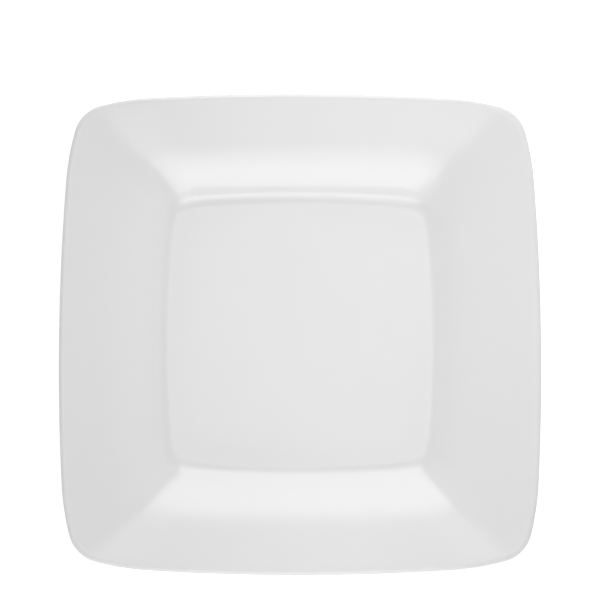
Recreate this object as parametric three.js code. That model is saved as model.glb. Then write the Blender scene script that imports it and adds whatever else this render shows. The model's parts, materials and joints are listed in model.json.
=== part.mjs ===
// Square porcelain dinner plate: a bowed square with a wide rim that rises to its corners, a sunken well and a
// foot ring.
// Millimetres, +Z up. The origin is the middle of the plane that the foot ring stands on.
// The fired body is one piece that carries two fields of glaze. The main glaze runs from the well over the lip
// and down the back to the outside of the foot, the base glaze lines the recess inside the foot, and the
// standing edge between them is bare.
import * as THREE from "three";

const { degToRad, lerp } = THREE.MathUtils;

// Plan of the lip, over the glaze
const LIP_HALF_WIDTH = 135; // from the centre to the middle of a side
const LIP_SHOULDER_RADIUS = 147; // the stretch between the bowed side and the corner
const LIP_CORNER_RADIUS = 20.5;

// Plan of the well, at the edge of its flat floor
const WELL_SHOULDER_RADIUS = 52;
const WELL_CORNER_RADIUS = 10;

// How far every plan outline has turned at the end of half a bowed side, and at the end of a shoulder
const SIDE_TURN = degToRad(3.9);
const SHOULDER_TURN = degToRad(15.3);

// Corners of the rim
const RIM_CORNER_SWELL = 6; // the most that their radius gains on an even growth from the well's to the lip's
const CORNER_RISE = 3.2; // the lip at a corner above the lip at the middle of a side

// Section through the middle of a side, over the glaze
const SLOPE_START = 79; // half-width where floor and slope would meet without their fillet
const RIM_START = 97; // half-width where slope and rim would meet without their blend
const SLOPE_ANGLE = degToRad(36);
const RIM_ANGLE = degToRad(18);
const WELL_FILLET_RADIUS = 12;
const RIM_BLEND_RADIUS = 100;
const FLOOR_THICKNESS = 4.7;
const WALL_THICKNESS = 4.3; // slope and rim, and the lip is a full round of it

// Foot ring
const FOOT_HEIGHT = 2.5;
const FOOT_SETBACK = 8.5; // standing edge in from the start of the slope, so that plates stack
const FOOT_WIDTH = 4;
const FOOT_DRAFT = degToRad(20);
const FOOT_FILLET_RADIUS = 1.5;
const FOOT_EDGE_RADIUS = 0.8;

// Glaze
const GLAZE_THICKNESS = 0.25;
const GLAZE_LINE_HEIGHT = 1.1; // the foot is bare below this height

// Facets along each stretch of an eighth of the plan
const SIDE_STEPS = 2;
const SHOULDER_STEPS = 2;
const CORNER_STEPS = 3;

// Facets in the rounds of the section
const FACE_STEPS = 5;
const BACK_STEPS = 4;
const LIP_STEPS = 3;
const FOOT_STEPS = 2;

const floorTop = FOOT_HEIGHT + FLOOR_THICKNESS;
const lipRadius = WALL_THICKNESS / 2;
const footOutside = SLOPE_START - FOOT_SETBACK;

// A straight line of the section, through a point and along a heading, with the material on its right
function sectionLine(x, z, heading) {
  return { through: new THREE.Vector2(x, z), heading };
}

// The same line moved into the material
function insetLine({ through, heading }, depth) {
  const inwards = new THREE.Vector2(Math.sin(heading), -Math.cos(heading));
  return { through: through.clone().addScaledVector(inwards, depth), heading };
}

// The line along the far side of a wall, which runs back the other way
function backOf(line, thickness) {
  const back = insetLine(line, thickness);
  return { through: back.through, heading: line.heading + Math.PI };
}

function crossing(first, second) {
  const along = new THREE.Vector2(Math.cos(first.heading), Math.sin(first.heading));
  const across = new THREE.Vector2(-Math.sin(second.heading), Math.cos(second.heading));
  const distance = second.through.clone().sub(first.through).dot(across) / along.dot(across);
  return first.through.clone().addScaledVector(along, distance);
}

// The section's straight lines, over the glaze: x is the half-width and y the height
function sectionLines() {
  const floor = sectionLine(0, floorTop, 0);
  const slope = sectionLine(SLOPE_START, floorTop, SLOPE_ANGLE);
  const rimStart = crossing(slope, sectionLine(RIM_START, 0, Math.PI / 2));
  const rim = sectionLine(rimStart.x, rimStart.y, RIM_ANGLE);
  const lipCentre = crossing(insetLine(rim, lipRadius), sectionLine(LIP_HALF_WIDTH - lipRadius, 0, Math.PI / 2));
  const lipEdge = insetLine(sectionLine(lipCentre.x, lipCentre.y, RIM_ANGLE - Math.PI / 2), -lipRadius);
  return {
    floor,
    slope,
    rim,
    lipEdge,
    rimBack: backOf(rim, WALL_THICKNESS),
    slopeBack: backOf(slope, WALL_THICKNESS),
    base: sectionLine(0, FOOT_HEIGHT, Math.PI),
    footOuterWall: sectionLine(footOutside, 0, -Math.PI / 2 - FOOT_DRAFT),
    footInnerWall: sectionLine(footOutside - FOOT_WIDTH, 0, Math.PI / 2 + FOOT_DRAFT),
  };
}

// The section's corners, from the middle of the floor out over the lip and back under to the middle of the base.
// Every line but the bare standing edge lies the given depth under the surface of the glaze.
function sectionCorners(depth) {
  const lines = {};
  for (const [name, line] of Object.entries(sectionLines())) {
    lines[name] = insetLine(line, depth);
  }
  const { floor, slope, rim, lipEdge, rimBack, slopeBack, base, footOuterWall, footInnerWall } = lines;
  const axis = sectionLine(0, 0, Math.PI / 2);
  const standing = sectionLine(0, 0, Math.PI);
  const glazeLine = sectionLine(0, GLAZE_LINE_HEIGHT, 0);
  const point = (first, second, mark) => ({ at: crossing(first, second), radius: 0, steps: 0, mark });
  const round = (first, second, radius, steps) => ({ at: crossing(first, second), radius, steps });
  return [
    point(floor, axis),
    round(floor, slope, WELL_FILLET_RADIUS, FACE_STEPS),
    round(slope, rim, RIM_BLEND_RADIUS, FACE_STEPS),
    round(rim, lipEdge, lipRadius, LIP_STEPS),
    { ...round(lipEdge, rimBack, lipRadius, LIP_STEPS), continues: true },
    round(rimBack, slopeBack, RIM_BLEND_RADIUS - WALL_THICKNESS, BACK_STEPS),
    round(slopeBack, base, WELL_FILLET_RADIUS + WALL_THICKNESS, BACK_STEPS),
    round(base, footOuterWall, FOOT_FILLET_RADIUS, FOOT_STEPS),
    point(footOuterWall, glazeLine, "outer glaze line"),
    round(footOuterWall, standing, FOOT_EDGE_RADIUS, FOOT_STEPS),
    round(standing, footInnerWall, FOOT_EDGE_RADIUS, FOOT_STEPS),
    point(footInnerWall, glazeLine, "inner glaze line"),
    round(footInnerWall, base, FOOT_FILLET_RADIUS, FOOT_STEPS),
    point(base, axis),
  ];
}

// The signed angle by which the section turns at each corner: left, round a hollow, is positive
function cornerTurns(corners) {
  return corners.map(({ at }, i) => {
    if (i === 0 || i === corners.length - 1) return 0;
    const arriving = at.clone().sub(corners[i - 1].at);
    const leaving = corners[i + 1].at.clone().sub(at);
    return Math.atan2(arriving.cross(leaving), arriving.dot(leaving));
  });
}

// The radius of every round: the one asked for, or what the straights beside it leave room for
function roundRadii(corners) {
  const turns = cornerTurns(corners);
  const reach = corners.map(({ radius }, i) => radius * Math.tan(Math.abs(turns[i]) / 2));
  const room = corners.slice(1).map(({ at }, i) => at.distanceTo(corners[i].at) / (reach[i] + reach[i + 1]));
  return corners.map(({ radius }, i) => radius * Math.min(1, room[i - 1] ?? 1, room[i] ?? 1));
}

// The section's points at a depth under the glaze, with a mark on the points where the glaze ends.
// A round keeps its centre at every depth, so it grows round a hollow and shrinks round an edge.
function sectionPoints(depth) {
  const radii = roundRadii(sectionCorners(0));
  const corners = sectionCorners(depth);
  const turns = cornerTurns(corners);
  return corners.flatMap(({ at, steps, mark, continues }, i) => {
    if (steps === 0) return [{ x: at.x, z: at.y, mark }];
    const turn = turns[i];
    const radius = radii[i] + depth * Math.sign(turn);
    const arriving = at.clone().sub(corners[i - 1].at).normalize();
    const start = at.clone().addScaledVector(arriving, -radius * Math.tan(Math.abs(turn) / 2));
    const left = new THREE.Vector2(-arriving.y, arriving.x);
    const centre = start.clone().addScaledVector(left, radius * Math.sign(turn));
    const points = [];
    for (let step = continues ? 1 : 0; step <= steps; step++) {
      const { x, y } = start.clone().rotateAround(centre, (turn * step) / steps);
      points.push({ x, z: y });
    }
    return points;
  });
}

// The ways that a plan outline faces, once round from +X. Every outline has its points at these same directions.
function planDirections() {
  const spread = (from, to, steps) => Array.from({ length: steps }, (_, i) => lerp(from, to, i / steps));
  const eighth = [
    ...spread(0, SIDE_TURN, SIDE_STEPS),
    ...spread(SIDE_TURN, SHOULDER_TURN, SHOULDER_STEPS),
    ...spread(SHOULDER_TURN, Math.PI / 4, CORNER_STEPS),
  ];
  const mirrored = [Math.PI / 4, ...eighth.slice(1).reverse().map((direction) => Math.PI / 2 - direction)];
  const quarter = [...eighth, ...mirrored];
  return [0, 1, 2, 3].flatMap((turn) => quarter.map((direction) => direction + (turn * Math.PI) / 2));
}

// The point of a plan outline that faces a direction. Half a side is three tangent arcs: the bowed side, the
// shoulder and the corner. The bow's radius is the one that brings the corner's centre onto the diagonal.
function outlinePoint(direction, { half, shoulder, corner }) {
  const shortfall = (angle) => Math.cos(angle) - Math.sin(angle);
  const sideTurned = shortfall(SIDE_TURN);
  const bow = (half - shoulder * sideTurned + (shoulder - corner) * shortfall(SHOULDER_TURN)) / (1 - sideTurned);
  const side = Math.round(direction / (Math.PI / 2));
  const local = direction - (side * Math.PI) / 2;
  const turned = Math.abs(local);
  const point = new THREE.Vector2(half - bow, 0);
  const step = (length, angle) => point.add(new THREE.Vector2(Math.cos(angle), Math.sin(angle)).multiplyScalar(length));
  if (turned > SIDE_TURN) step(bow - shoulder, SIDE_TURN);
  if (turned > SHOULDER_TURN) step(shoulder - corner, SHOULDER_TURN);
  step(turned > SHOULDER_TURN ? corner : turned > SIDE_TURN ? shoulder : bow, turned);
  if (local < 0) point.y = -point.y;
  return point.rotateAround(new THREE.Vector2(), (side * Math.PI) / 2);
}

// How far a point lies towards a corner of its outline: nought at the middle of a side
function cornering(point, half) {
  return (point.x * point.y) / half ** 2;
}

const directions = planDirections();
const glazeSection = sectionPoints(0);
const bodySection = sectionPoints(GLAZE_THICKNESS);
const floorHalfWidth = glazeSection[1].x;
const swellPeak = 4 / 27; // of growth ** 2 * (1 - growth), two thirds of the way out
const lip = { half: LIP_HALF_WIDTH, shoulder: LIP_SHOULDER_RADIUS, corner: LIP_CORNER_RADIUS };
const lipCornering = cornering(outlinePoint(Math.PI / 4, lip), LIP_HALF_WIDTH);

// The plan outline at a half-width, with each point's rise as its z. The floor's outline grows evenly into the
// lip's, but for the swell of the corners between them. Inside the floor it is a flat smaller copy of the floor's.
function planOutline(half) {
  const growth = Math.max(0, (half - floorHalfWidth) / (LIP_HALF_WIDTH - floorHalfWidth));
  const copy = Math.min(1, half / floorHalfWidth);
  const shoulder = copy * lerp(WELL_SHOULDER_RADIUS, LIP_SHOULDER_RADIUS, growth);
  const swell = (RIM_CORNER_SWELL * growth ** 2 * (1 - growth)) / swellPeak;
  const corner = copy * (lerp(WELL_CORNER_RADIUS, LIP_CORNER_RADIUS, growth) + swell);
  return directions.map((direction) => {
    const point = outlinePoint(direction, { half, shoulder, corner });
    const rise = CORNER_RISE * growth * (cornering(point, half) / lipCornering) ** 2;
    return new THREE.Vector3(point.x, point.y, rise);
  });
}

// A closed skin through the plan outlines along a section that starts and ends on the axis
function loft(section) {
  const count = directions.length;
  const rings = section.slice(1, -1);
  const positions = [0, 0, section[0].z];
  for (const { x, z } of rings) {
    for (const point of planOutline(x)) positions.push(point.x, point.y, z + point.z);
  }
  positions.push(0, 0, section.at(-1).z);
  const vertex = (ring, i) => 1 + ring * count + (i % count);
  const lastPole = 1 + rings.length * count;
  const triangles = [];
  for (let i = 0; i < count; i++) {
    triangles.push(0, vertex(0, i), vertex(0, i + 1));
    for (let ring = 0; ring < rings.length - 1; ring++) {
      const [a, b, c, d] = [vertex(ring, i), vertex(ring, i + 1), vertex(ring + 1, i), vertex(ring + 1, i + 1)];
      // A facet's diagonal leaves its wider ring, so that a coat and the body under it share their triangles
      if (rings[ring].x > rings[ring + 1].x) triangles.push(a, c, d, a, d, b);
      else triangles.push(a, c, b, b, c, d);
    }
    triangles.push(lastPole, vertex(rings.length - 1, i + 1), vertex(rings.length - 1, i));
  }
  const geometry = new THREE.BufferGeometry();
  geometry.setAttribute("position", new THREE.Float32BufferAttribute(positions, 3));
  geometry.setIndex(triangles);
  geometry.computeVertexNormals();
  return geometry;
}

function namedMesh(name, geometry, finish) {
  const mesh = new THREE.Mesh(geometry, new THREE.MeshStandardMaterial(finish));
  mesh.name = name;
  return mesh;
}

const biscuit = { color: 0xe9e5dc, roughness: 0.75, metalness: 0 };
const glaze = { color: 0xf4f4f3, roughness: 0.12, metalness: 0 };

function porcelainBody() {
  return namedMesh("porcelain_body", loft(bodySection), biscuit);
}

// Face, lip and back, down to the outside of the foot
function mainGlaze() {
  const end = glazeSection.findIndex(({ mark }) => mark === "outer glaze line") + 1;
  const section = [...glazeSection.slice(0, end), ...bodySection.slice(0, end).reverse()];
  return namedMesh("main_glaze", loft(section), glaze);
}

// The recess inside the foot
function baseGlaze() {
  const start = glazeSection.findIndex(({ mark }) => mark === "inner glaze line");
  const section = [...bodySection.slice(start).reverse(), ...glazeSection.slice(start)];
  return namedMesh("base_glaze", loft(section), glaze);
}

const plate = new THREE.Group();
plate.name = "square_plate";
plate.add(porcelainBody(), mainGlaze(), baseGlaze());

export default plate;
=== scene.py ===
import json
import math

import bpy
import numpy as np
from mathutils import Matrix, Vector

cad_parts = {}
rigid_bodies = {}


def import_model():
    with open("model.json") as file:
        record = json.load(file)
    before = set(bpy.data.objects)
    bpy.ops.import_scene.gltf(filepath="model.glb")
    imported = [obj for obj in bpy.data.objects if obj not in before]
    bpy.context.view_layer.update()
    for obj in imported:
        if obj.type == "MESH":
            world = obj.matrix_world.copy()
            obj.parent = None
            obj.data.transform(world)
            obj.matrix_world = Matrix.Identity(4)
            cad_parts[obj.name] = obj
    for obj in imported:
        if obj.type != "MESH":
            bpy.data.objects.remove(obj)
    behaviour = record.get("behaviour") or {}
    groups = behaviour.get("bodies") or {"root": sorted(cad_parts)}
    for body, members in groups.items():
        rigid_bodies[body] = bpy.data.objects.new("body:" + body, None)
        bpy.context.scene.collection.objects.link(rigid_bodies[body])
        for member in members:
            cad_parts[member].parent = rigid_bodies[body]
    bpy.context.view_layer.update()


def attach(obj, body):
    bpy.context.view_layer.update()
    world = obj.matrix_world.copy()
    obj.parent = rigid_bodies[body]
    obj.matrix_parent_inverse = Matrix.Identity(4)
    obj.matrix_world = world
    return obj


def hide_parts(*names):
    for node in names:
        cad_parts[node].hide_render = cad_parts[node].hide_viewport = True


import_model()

# Driving dimensions of the plate, in metres and radians, the same as in the solids
LIP_HALF_WIDTH = 0.135
LIP_SHOULDER_RADIUS = 0.147
LIP_CORNER_RADIUS = 0.0205
WELL_SHOULDER_RADIUS = 0.052
WELL_CORNER_RADIUS = 0.01
SIDE_TURN = math.radians(3.9)
SHOULDER_TURN = math.radians(15.3)
RIM_CORNER_SWELL = 0.006
CORNER_RISE = 0.0032
SLOPE_START = 0.079
RIM_START = 0.097
SLOPE_ANGLE = math.radians(36)
RIM_ANGLE = math.radians(18)
WELL_FILLET_RADIUS = 0.012
RIM_BLEND_RADIUS = 0.1
FLOOR_THICKNESS = 0.0047
WALL_THICKNESS = 0.0043
FOOT_HEIGHT = 0.0025
FOOT_SETBACK = 0.0085
FOOT_WIDTH = 0.004
FOOT_DRAFT = math.radians(20)
FOOT_FILLET_RADIUS = 0.0015
FOOT_EDGE_RADIUS = 0.0008
GLAZE_THICKNESS = 0.00025
GLAZE_LINE_HEIGHT = 0.0011

# The round surfaces lie this far under the nominal ones, so that they stay inside the faceted solids' box
SKIN_DEPTH = 0.00006

FLOOR_TOP = FOOT_HEIGHT + FLOOR_THICKNESS
LIP_RADIUS = WALL_THICKNESS / 2
FOOT_OUTSIDE = SLOPE_START - FOOT_SETBACK
FLOOR_HALF_WIDTH = SLOPE_START - WELL_FILLET_RADIUS * math.tan(SLOPE_ANGLE / 2)
SWELL_PEAK = 4 / 27  # the most that growth squared times one less growth comes to
ROLL_STEPS = 8
LEAST_GAP = 1e-9


# The section, as x across the plate and y up

def along(heading):
    return np.array([math.cos(heading), math.sin(heading)])


def inwards(heading):
    """The way into the material, which lies to the right of every line of the section."""
    return along(heading - math.pi / 2)


def crossing(first, second):
    """Where two lines meet, each a point and a heading: along the first until it reaches the second."""
    normal = inwards(second[1])
    reach = (second[0] - first[0]) @ normal / (along(first[1]) @ normal)
    return first[0] + reach * along(first[1])


def inset(line, depth):
    return line[0] + depth * inwards(line[1]), line[1]


def section_lines(depth):
    """The straight lines of the section, moved a depth into the material, with the radius that rounds the
    corner where each one meets the next. A round keeps its centre at every depth."""
    axis = (np.zeros(2), math.pi / 2)
    floor = (np.array([0, FLOOR_TOP]), 0)
    slope = (np.array([SLOPE_START, FLOOR_TOP]), SLOPE_ANGLE)
    rim = (crossing(slope, (np.array([RIM_START, 0]), math.pi / 2)), RIM_ANGLE)
    lip_centre = crossing(inset(rim, LIP_RADIUS), (np.array([LIP_HALF_WIDTH - LIP_RADIUS, 0]), math.pi / 2))
    lip_edge = inset((lip_centre, RIM_ANGLE - math.pi / 2), -LIP_RADIUS)
    rim_back = (inset(rim, WALL_THICKNESS)[0], RIM_ANGLE + math.pi)
    slope_back = (inset(slope, WALL_THICKNESS)[0], SLOPE_ANGLE + math.pi)
    base = (np.array([0, FOOT_HEIGHT]), math.pi)
    foot_outer = (np.array([FOOT_OUTSIDE, 0]), -math.pi / 2 - FOOT_DRAFT)
    foot_inner = (np.array([FOOT_OUTSIDE - FOOT_WIDTH, 0]), math.pi / 2 + FOOT_DRAFT)
    standing = (np.zeros(2), math.pi)
    moved = lambda line: inset(line, depth)
    hollow = lambda radius: radius + depth
    edge = lambda radius: radius - depth
    return [
        (axis, 0),
        (moved(floor), hollow(WELL_FILLET_RADIUS)),
        (moved(slope), edge(RIM_BLEND_RADIUS)),
        (moved(rim), edge(LIP_RADIUS)),
        (moved(lip_edge), edge(LIP_RADIUS)),
        (moved(rim_back), hollow(RIM_BLEND_RADIUS - WALL_THICKNESS)),
        (moved(slope_back), edge(WELL_FILLET_RADIUS + WALL_THICKNESS)),
        (moved(base), hollow(FOOT_FILLET_RADIUS)),
        (moved(foot_outer), edge(FOOT_EDGE_RADIUS)),
        (standing, edge(FOOT_EDGE_RADIUS)),
        (moved(foot_inner), hollow(FOOT_FILLET_RADIUS)),
        (moved(base), 0),
        (axis, 0),
    ]


def straight_run(start, end, step):
    """Points from start, which is left out, to end, evenly spread and no further apart than step."""
    cuts = max(1, math.ceil(np.linalg.norm(end - start) / step))
    share = np.linspace(0, 1, cuts + 1)[1:, None]
    return start + share * (end - start)


def section_points(depth, straight_step, round_step):
    """The rounded section from the middle of the floor over the lip and back under to the middle of the
    base. Straights are cut every straight_step metres, and rounds every round_step radians of turn."""
    lines = section_lines(depth)
    headings = [line[1] for line, _ in lines]
    corners = [crossing(lines[i][0], lines[i + 1][0]) for i in range(len(lines) - 1)]
    runs = [corners[0][None]]
    for i in range(1, len(corners) - 1):
        radius = lines[i][1]
        turn = (headings[i + 1] - headings[i] + math.pi) % (2 * math.pi) - math.pi
        start = corners[i] - radius * math.tan(abs(turn) / 2) * along(headings[i])
        centre = start - math.copysign(radius, turn) * inwards(headings[i])
        if np.linalg.norm(start - runs[-1][-1]) > LEAST_GAP:
            runs.append(straight_run(runs[-1][-1], start, straight_step))
        steps = max(2, math.ceil(abs(turn) / round_step))
        angle = np.linspace(0, turn, steps + 1)[1:, None]
        arm = start - centre
        runs.append(centre + np.cos(angle) * arm + np.sin(angle) * np.array([-arm[1], arm[0]]))
    runs.append(straight_run(runs[-1][-1], corners[-1], straight_step))
    return np.concatenate(runs)


def split_at_glaze_line(points):
    """The section in three: to the glaze line outside the foot, round the bare foot, and to the middle."""
    below = np.flatnonzero(points[:, 1] < GLAZE_LINE_HEIGHT)
    first, last = below[0], below[-1]

    def at_line(start, end):
        return start + (GLAZE_LINE_HEIGHT - start[1]) / (end[1] - start[1]) * (end - start)

    outer = at_line(points[first - 1], points[first])
    inner = at_line(points[last], points[last + 1])
    return np.vstack([points[:first], outer]), points[first:last + 1], np.vstack([inner, points[last + 1:]])


def rounded_end(start, end, heading):
    """The half circle from start to end that bulges along a heading: a glaze coat's rolled edge."""
    centre = (start + end) / 2
    arm = start - centre
    angle = np.linspace(0, math.pi, ROLL_STEPS + 1)[1:-1, None]
    return centre + np.cos(angle) * arm + np.sin(angle) * np.linalg.norm(arm) * along(heading)


# The plan and the loft

def plan_points(direction, half, shoulder, corner):
    """The bowed square's points that face each direction. From the middle of a side it is three tangent
    arcs: the bow, the shoulder and the corner. The bow's radius brings the corner's centre onto the
    diagonal, and the other sides are the first one mirrored and turned by quarters."""
    side_gap = math.cos(SIDE_TURN) - math.sin(SIDE_TURN)
    shoulder_gap = math.cos(SHOULDER_TURN) - math.sin(SHOULDER_TURN)
    bow = (half - shoulder * side_gap + (shoulder - corner) * shoulder_gap) / (1 - side_gap)
    quarter = np.round(direction / (math.pi / 2))
    local = direction - quarter * math.pi / 2
    turned = np.abs(local)

    def walk(trig):
        to_shoulder = (bow - shoulder) * trig(SIDE_TURN)
        to_corner = to_shoulder + (shoulder - corner) * trig(SHOULDER_TURN)
        near_corner = np.where(
            turned <= SHOULDER_TURN, to_shoulder + shoulder * trig(turned), to_corner + corner * trig(turned)
        )
        return np.where(turned <= SIDE_TURN, bow * trig(turned), near_corner)

    x = half - bow + walk(np.cos)
    y = walk(np.sin) * np.where(local < 0, -1, 1)
    cosine = np.cos(quarter * math.pi / 2)
    sine = np.sin(quarter * math.pi / 2)
    return cosine * x - sine * y, sine * x + cosine * y


def plan_directions(side_steps, shoulder_steps, corner_steps):
    """The facing directions once round, with that many steps on each arc of an eighth of the plan."""
    eighth = np.concatenate([
        np.linspace(0, SIDE_TURN, side_steps, endpoint=False),
        np.linspace(SIDE_TURN, SHOULDER_TURN, shoulder_steps, endpoint=False),
        np.linspace(SHOULDER_TURN, math.pi / 4, corner_steps, endpoint=False),
    ])
    quarter = np.concatenate([eighth, [math.pi / 4], math.pi / 2 - eighth[:0:-1]])
    return np.concatenate([quarter + turn * math.pi / 2 for turn in range(4)])


def lofted_piece(name, section, directions):
    """A closed skin: point (u, v) is the plan outline's point that faces direction v, at the half-width
    and height of the section's point u. The outline grows evenly from the well floor's into the lip's,
    apart from a swell of the corner radius with growth squared times one less growth. Inside the floor it
    is a smaller copy. The height gains a rise with growth times the square of x times y, and the
    section's two ends are poles on the axis."""
    half, height = section[1:-1, :1], section[1:-1, 1:]
    growth = np.maximum(0, (half - FLOOR_HALF_WIDTH) / (LIP_HALF_WIDTH - FLOOR_HALF_WIDTH))
    copy = np.minimum(1, half / FLOOR_HALF_WIDTH)
    shoulder = copy * (WELL_SHOULDER_RADIUS + growth * (LIP_SHOULDER_RADIUS - WELL_SHOULDER_RADIUS))
    swell = RIM_CORNER_SWELL * growth**2 * (1 - growth) / SWELL_PEAK
    corner = copy * (WELL_CORNER_RADIUS + growth * (LIP_CORNER_RADIUS - WELL_CORNER_RADIUS) + swell)
    x, y = plan_points(directions[None], half, shoulder, corner)
    lip_x, lip_y = plan_points(np.array(math.pi / 4), LIP_HALF_WIDTH, LIP_SHOULDER_RADIUS, LIP_CORNER_RADIUS)
    cornering = (x * y / half**2) / (lip_x * lip_y / LIP_HALF_WIDTH**2)
    rise = CORNER_RISE * growth * cornering**2
    rings = np.stack([x, y, height + rise], axis=2)
    ends = np.array([[0, 0, section[0, 1]], [0, 0, section[-1, 1]]])
    points = np.concatenate([ends[:1], rings.reshape(-1, 3), ends[1:]])

    count = len(directions)
    index = 1 + np.arange(rings.shape[0] * count).reshape(-1, count)
    after = np.roll(index, -1, axis=1)
    quads = np.stack([index[:-1], index[1:], after[1:], after[:-1]], axis=2).reshape(-1, 4)
    first = np.stack([np.zeros(count, int), index[0], after[0]], axis=1)
    last = np.stack([np.full(count, len(points) - 1), after[-1], index[-1]], axis=1)
    mesh = bpy.data.meshes.new(name)
    mesh.from_pydata(points, [], first.tolist() + quads.tolist() + last.tolist())
    mesh.polygons.foreach_set("use_smooth", np.ones(len(mesh.polygons), bool))
    piece = bpy.data.objects.new(name, mesh)
    bpy.context.scene.collection.objects.link(piece)
    return piece


# The pieces

SIDE_STEPS = 14
SHOULDER_STEPS = 12
CORNER_STEPS = 18
DIRECTIONS = plan_directions(SIDE_STEPS, SHOULDER_STEPS, CORNER_STEPS)
FINE_STRAIGHT = 0.004
FINE_ROUND = math.radians(2.5)
BODY_STRAIGHT = 0.02
BODY_ROUND = math.radians(3)


def finish_piece(piece, node, material):
    piece.data.materials.append(material)
    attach(piece, "root")
    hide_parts(node)


def main_glaze_section():
    """Over the face, the lip and the back to the outside of the foot, and back along the porcelain."""
    coat = split_at_glaze_line(section_points(SKIN_DEPTH, FINE_STRAIGHT, FINE_ROUND))[0]
    under = split_at_glaze_line(section_points(GLAZE_THICKNESS, BODY_STRAIGHT, BODY_ROUND))[0]
    roll = rounded_end(coat[-1], under[-1], -math.pi / 2 - FOOT_DRAFT)
    return np.concatenate([coat, roll, under[::-1]])


def base_glaze_section():
    """Along the porcelain to the inside of the foot, and back over the glazed recess."""
    coat = split_at_glaze_line(section_points(SKIN_DEPTH, FINE_STRAIGHT, FINE_ROUND))[2]
    under = split_at_glaze_line(section_points(GLAZE_THICKNESS, BODY_STRAIGHT, BODY_ROUND))[2]
    roll = rounded_end(under[0], coat[0], -math.pi / 2 + FOOT_DRAFT)
    return np.concatenate([under[::-1], roll, coat])


def body_section():
    """All round the porcelain, with straights cut closer on the bare foot than under the glaze."""
    hidden = split_at_glaze_line(section_points(GLAZE_THICKNESS, BODY_STRAIGHT, BODY_ROUND))
    bare = split_at_glaze_line(section_points(GLAZE_THICKNESS, FINE_STRAIGHT, BODY_ROUND))[1]
    return np.concatenate([hidden[0], bare, hidden[2]])


# Materials

class Shade:
    """A socket in a material's nodes. Arithmetic on it adds Math nodes, and node() adds other kinds."""

    def __init__(self, tree, socket=None):
        self.tree = tree
        self.socket = socket

    def node(self, kind, inputs, output=0, **settings):
        """Adds a node, sets it up, gives each socket its value or link, and returns one output."""
        made = self.tree.nodes.new(kind)
        for name, value in settings.items():
            setattr(made, name, value)
        for name, value in inputs.items():
            if isinstance(value, Shade):
                self.tree.links.new(value.socket, made.inputs[name])
            else:
                made.inputs[name].default_value = value
        return Shade(self.tree, made.outputs[output])

    def maths(self, operation, first, second):
        return self.node("ShaderNodeMath", {0: first, 1: second}, operation=operation)

    def __add__(self, other):
        return self.maths("ADD", self, other)

    def __sub__(self, other):
        return self.maths("SUBTRACT", self, other)

    def __rsub__(self, other):
        return self.maths("SUBTRACT", other, self)

    def __mul__(self, other):
        return self.maths("MULTIPLY", self, other)

    __radd__ = __add__
    __rmul__ = __mul__

    def noise(self, place, size, detail=2.0):
        """Noise whose patches are about size metres across."""
        return self.node("ShaderNodeTexNoise", {"Vector": place, "Scale": 1 / size, "Detail": detail})

    def between(self, low, high):
        """0 below low and 1 above high, with a soft step between."""
        settings = {"interpolation_type": "SMOOTHSTEP"}
        return self.node("ShaderNodeMapRange", {"Value": self, "From Min": low, "From Max": high}, **settings)

    def mix(self, factor, first, second):
        """A colour from first to second as the factor goes from 0 to 1."""
        return self.node("ShaderNodeMix", {0: factor, 6: first, 7: second}, 2, data_type="RGBA")


def grey(level):
    return (level, level, level, 1)


def new_surface(name, **constants):
    """A material with one Principled surface, given the sockets that are the same all over."""
    material = bpy.data.materials.new(name)
    material.use_nodes = True
    surface = material.node_tree.nodes["Principled BSDF"]
    for socket, value in constants.items():
        surface.inputs[socket.replace("_", " ")].default_value = value
    return material, surface, Shade(material.node_tree)


def link(shade, surface, socket):
    shade.tree.links.new(shade.socket, surface.inputs[socket])


def white_glaze():
    """Glossy white glaze: a faint drift in tone, gloss that varies a little, slow waves and fine peel in
    its skin, and a few pinholes, greyed with painted shade in their pits."""
    material, surface, shade = new_surface("white_glaze", IOR=1.5)
    place = shade.node("ShaderNodeTexCoord", {}, "Object")
    drift = shade.noise(place, 0.09)
    cloud = shade.noise(place, 0.012, 3.0)
    cells = shade.node("ShaderNodeTexVoronoi", {"Vector": place, "Scale": 60, "Randomness": 1})
    pinhole_pit_and_shade = 1 - cells.between(0.006, 0.014)
    tone = drift * 0.7 + cloud * 0.3
    colour = shade.mix(tone, grey(0.835), grey(0.865))
    # The pinholes grey the base colour here: painted shade in their pits, which the bump sinks
    link(shade.mix(pinhole_pit_and_shade * 0.35, colour, grey(0.45)), surface, "Base Color")
    link(cloud * 0.04 + 0.05, surface, "Roughness")
    wave = shade.noise(place, 0.03, 1.0)
    peel = shade.noise(place, 0.0016, 2.0)
    height = wave * 1.0 + peel * 0.03 - pinhole_pit_and_shade * 0.6
    bump = shade.node("ShaderNodeBump", {"Strength": 1.0, "Distance": 0.00002, "Height": height})
    link(bump, surface, "Normal")
    return material


def biscuit_porcelain():
    """Bare fired porcelain on the ground foot: off-white, matt, finely grained, with faint rub marks."""
    material, surface, shade = new_surface("biscuit_porcelain", IOR=1.45)
    place = shade.node("ShaderNodeTexCoord", {}, "Object")
    grain = shade.noise(place, 0.0004, 4.0)
    patch = shade.noise(place, 0.015, 3.0)
    rubbed = shade.noise(place, 0.004, 6.0).between(0.58, 0.75)
    clay = shade.mix(patch, (0.74, 0.71, 0.65, 1), (0.83, 0.81, 0.76, 1))
    fine = shade.mix(grain.between(0.3, 0.7) * 0.25, clay, (0.62, 0.59, 0.54, 1))
    link(shade.mix(rubbed * 0.3, fine, (0.5, 0.49, 0.47, 1)), surface, "Base Color")
    link(0.78 - rubbed * 0.18 + grain * 0.1, surface, "Roughness")
    bump = shade.node("ShaderNodeBump", {"Strength": 0.6, "Distance": 0.00003, "Height": grain})
    link(bump, surface, "Normal")
    return material


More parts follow.
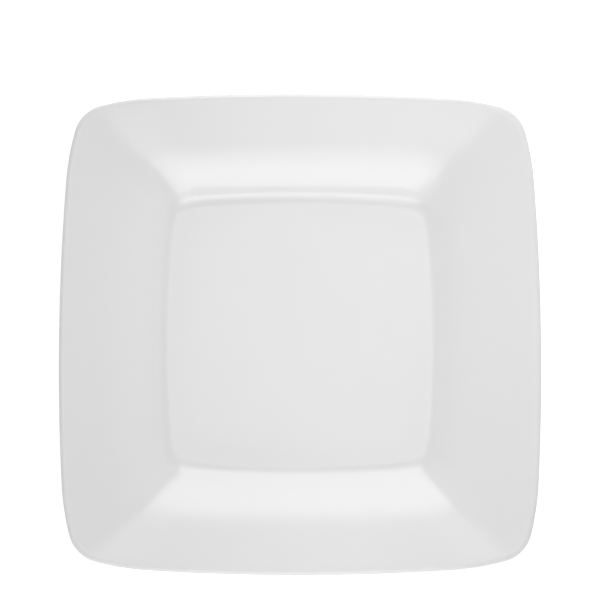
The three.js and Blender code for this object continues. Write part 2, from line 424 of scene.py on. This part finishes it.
glaze = white_glaze()
main_glaze = lofted_piece("plate_main_glaze", main_glaze_section(), DIRECTIONS)
finish_piece(main_glaze, "main_glaze", glaze)
base_glaze = lofted_piece("plate_base_glaze", base_glaze_section(), DIRECTIONS)
finish_piece(base_glaze, "base_glaze", glaze)
body = lofted_piece("plate_porcelain_body", body_section(), DIRECTIONS)
finish_piece(body, "porcelain_body", biscuit_porcelain())


# The stage, the lights and the camera

STAGE_HALF_WIDTH = 4
STAGE_FLAT_RADIUS = 1.5
STAGE_RISE = 0.2
STAGE_DROP = 0.00005
STAGE_STEPS = 80
WHITE_NEAR = 0.6  # glow of the paper close to the plate, where its lit colour adds the rest
WHITE_START = 0.3
WHITE_FULL = 1.3
LIP_CENTRE_HEIGHT = 0.0297
CAMERA_AZIMUTH = math.radians(-10.52)
CAMERA_ELEVATION = math.radians(85.73)
CAMERA_DISTANCE = 6 * LIP_HALF_WIDTH
CAMERA_AIM = (-0.0003, 0.0174, LIP_CENTRE_HEIGHT)
CAMERA_FOCAL_PIXELS = 1446
PICTURE_PIXELS = 600
SENSOR_WIDTH = 36  # millimetres
EVEN_FADE = (0.5, 0.5, 0.5)


def is_seen(shade):
    """1 for the rays that show the background: from the camera, mirrored in gloss, or through glass."""
    path = shade.node("ShaderNodeLightPath", {}, "Is Camera Ray")
    outputs = path.socket.node.outputs
    gloss = Shade(shade.tree, outputs["Is Glossy Ray"])
    clear = Shade(shade.tree, outputs["Is Transmission Ray"])
    return shade.maths("MAXIMUM", shade.maths("MAXIMUM", path, gloss), clear)


def pale_floor():
    """White paper under the plate, a grid over x and y. It is flat round the plate, and past that it
    rises with the square of the distance past the flat, so that it is the backdrop too. It shows white,
    fully so far out, and the plate's shadow takes some of that away."""
    line = np.linspace(-STAGE_HALF_WIDTH, STAGE_HALF_WIDTH, STAGE_STEPS + 1)
    x, y = np.meshgrid(line, line)
    past_flat = np.maximum(0, np.hypot(x, y) - STAGE_FLAT_RADIUS)
    points = np.stack([x, y, STAGE_RISE * past_flat**2 - STAGE_DROP], axis=2).reshape(-1, 3)
    index = np.arange(x.size).reshape(x.shape)
    quads = np.stack([index[:-1, :-1], index[:-1, 1:], index[1:, 1:], index[1:, :-1]], axis=2).reshape(-1, 4)
    mesh = bpy.data.meshes.new("pale_floor")
    mesh.from_pydata(points, [], quads.tolist())
    mesh.polygons.foreach_set("use_smooth", np.ones(len(mesh.polygons), bool))
    floor = bpy.data.objects.new("pale_floor", mesh)
    bpy.context.scene.collection.objects.link(floor)
    material, surface, shade = new_surface("white_paper", Roughness=0.9, Specular_IOR_Level=0.0)
    place = shade.node("ShaderNodeTexCoord", {}, "Object")
    link(shade.mix(shade.noise(place, 0.3), grey(0.78), grey(0.8)), surface, "Base Color")
    reach = shade.node("ShaderNodeVectorMath", {0: place}, "Value", operation="LENGTH")
    white = shade.mix(reach.between(WHITE_START, WHITE_FULL), grey(WHITE_NEAR), grey(1))
    link(shade.mix(is_seen(shade), grey(0), white), surface, "Emission Color")
    surface.inputs["Emission Strength"].default_value = 1
    mesh.materials.append(material)


def studio_dome(level):
    """Soft light from all round that changes only with height: dark at the horizon and overhead, and at
    its level half way up."""
    world = bpy.data.worlds.new("studio_dome")
    bpy.context.scene.world = world
    world.use_nodes = True
    shade = Shade(world.node_tree)
    toward = shade.node("ShaderNodeTexCoord", {}, "Generated")
    up = shade.node("ShaderNodeSeparateXYZ", {"Vector": toward}, "Z")
    low = shade.mix(up.between(0, 0.5), grey(0), grey(level))
    link(shade.mix(up.between(0.5, 1), low, grey(0)), world.node_tree.nodes["Background"], "Color")


def aimed_lamp(name, azimuth, zenith, distance, width, height, radiance):
    """A flat light that faces the middle of the plate, at an azimuth and an angle off the zenith in
    degrees. Gives its emission, and its own coordinates from -1 to 1: across, and up from the low end to
    the high one."""
    lamp = bpy.data.lights.new(name, "AREA")
    lamp.shape = "RECTANGLE"
    lamp.size = width
    lamp.size_y = height
    lamp.energy = radiance * math.pi * width * height
    lamp.use_nodes = True
    turn = math.radians(azimuth)
    tilt = math.radians(zenith)
    away = Vector((math.sin(tilt) * math.cos(turn), math.sin(tilt) * math.sin(turn), math.cos(tilt)))
    right = Vector((-math.sin(turn), math.cos(turn), 0))
    box = bpy.data.objects.new(name, lamp)
    turned = Matrix((right, away.cross(right), away)).transposed().to_4x4()
    box.matrix_world = Matrix.Translation(distance * away) @ turned
    box.visible_camera = False
    bpy.context.scene.collection.objects.link(box)
    shade = Shade(lamp.node_tree)
    place = shade.node("ShaderNodeNewGeometry", {}, "Parametric")
    across = shade.node("ShaderNodeSeparateXYZ", {"Vector": place}, "X") * 2 - 1
    up = shade.node("ShaderNodeSeparateXYZ", {"Vector": place}, "Y") * 2 - 1
    return lamp.node_tree.nodes["Emission"], across, up


def softbox(*place, fades):
    """A rectangular soft light, which fades out towards its low end, its high end and its sides, each
    over a share of half its size."""
    emission, across, up = aimed_lamp(*place)
    low, high, side = fades
    ends = (1 + up).between(0, low) * (1 - up).between(0, high)
    sides = (1 + across).between(0, side) * (1 - across).between(0, side)
    link(ends * sides, emission, "Strength")


def fill_light(*place, fades):
    """A softbox that lights the plate and isn't mirrored in its glaze."""
    softbox(*place, fades=fades)
    bpy.data.objects[place[0]].visible_glossy = False


def photograph_camera():
    """The photograph's camera, placed from the middle of the lip's plane and aimed a little behind it."""
    data = bpy.data.cameras.new("camera")
    data.sensor_width = SENSOR_WIDTH
    data.lens = CAMERA_FOCAL_PIXELS / PICTURE_PIXELS * SENSOR_WIDTH
    away = Vector((
        math.sin(CAMERA_AZIMUTH) * math.cos(CAMERA_ELEVATION),
        -math.cos(CAMERA_AZIMUTH) * math.cos(CAMERA_ELEVATION),
        math.sin(CAMERA_ELEVATION),
    ))
    place = Vector((0, 0, LIP_CENTRE_HEIGHT)) + CAMERA_DISTANCE * away
    back = (place - Vector(CAMERA_AIM)).normalized()
    right = Vector((0, 1, 0)).cross(back).normalized()
    up = back.cross(right)
    camera = bpy.data.objects.new("camera", data)
    turned = Matrix((right, up, back)).transposed().to_4x4()
    camera.matrix_world = Matrix.Translation(place) @ turned
    bpy.context.scene.collection.objects.link(camera)
    bpy.context.scene.camera = camera


pale_floor()
studio_dome(0.815)

# Azimuth and angle off the zenith in degrees, distance, width and height in metres, and radiance
softbox("front_softbox", -87.5, 39.75, 1, 0.36, 0.64, 2.97, fades=(0.1, 0.9, 0.8))
softbox("front_wide_softbox", -102, 45, 1, 0.9, 0.45, 1.22, fades=(0.6, 0.9, 1))
softbox("front_under_softbox", -89, 64, 1, 0.45, 0.35, 1.6, fades=(0.3, 0.3, 0.6))
softbox("front_horizon", -90, 82, 1.2, 0.7, 0.32, 3.5, fades=(0.1, 0.3, 0.5))
softbox("back_softbox", 90, 52.5, 1, 0.36, 0.83, 3.24, fades=(0.1, 0.7, 0.7))
softbox("back_horizon", 90, 82, 1.2, 0.7, 0.32, 3.5, fades=(0.1, 0.3, 0.5))
softbox("front_overhead", -81, 22, 1, 0.36, 0.6, 1.42, fades=(0.8, 0.6, 0.9))
softbox("back_overhead", 87.5, 27, 1, 0.28, 0.62, 1.3, fades=(0.8, 0.6, 1))
softbox("overhead", 80, 4.3, 2.5, 0.9, 0.9, 1.65, fades=EVEN_FADE)
fill_light("far_right_fill", 47, 52, 0.42, 0.45, 0.3, 0.75, fades=EVEN_FADE)
fill_light("overhead_fill", 25, 12, 0.28, 0.2, 0.2, 1.45, fades=EVEN_FADE)
fill_light("left_fill", 194, 68, 1, 0.9, 0.45, 0.5, fades=EVEN_FADE)
photograph_camera()
bpy.context.scene.view_settings.view_transform = "Standard"
